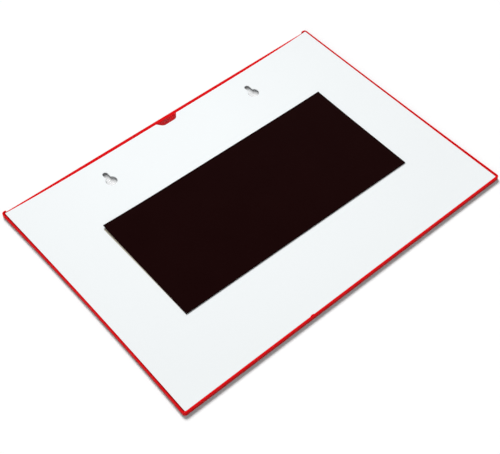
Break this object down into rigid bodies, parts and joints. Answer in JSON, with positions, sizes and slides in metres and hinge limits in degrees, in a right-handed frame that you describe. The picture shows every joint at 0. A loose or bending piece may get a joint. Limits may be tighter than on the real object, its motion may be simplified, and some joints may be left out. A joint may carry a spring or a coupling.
{
  "type": "magnetic document pocket",
  "caption": "Flat open-topped pocket for a sheet of paper: framed clear window in front, white back panel with hanging slots and a flexible magnet.",
  "frame": {"origin": "middle of the frame's outline, on the front face that the pocket lies on", "axes": "+X along the long side, +Y towards the open edge, +Z out of the back through the magnet"},
  "size_m": [0.322, 0.23, 0.005],
  "materials": {
    "red_frame": "satin-gloss moulded red plastic",
    "clear_film": "clear glossy plastic film",
    "white_panel": "smooth white plastic sheet, slightly satin",
    "beige_tape": "matt beige adhesive tape",
    "dark_magnet": "smooth brown-black flexible magnet, matt"
  },
  "bodies": {
    "root": {"front_frame": "red_frame", "window_film": "clear_film", "back_panel": "white_panel", "adhesive_tape": "beige_tape", "magnet_sheet": "dark_magnet"}
  },
  "joints": []
}
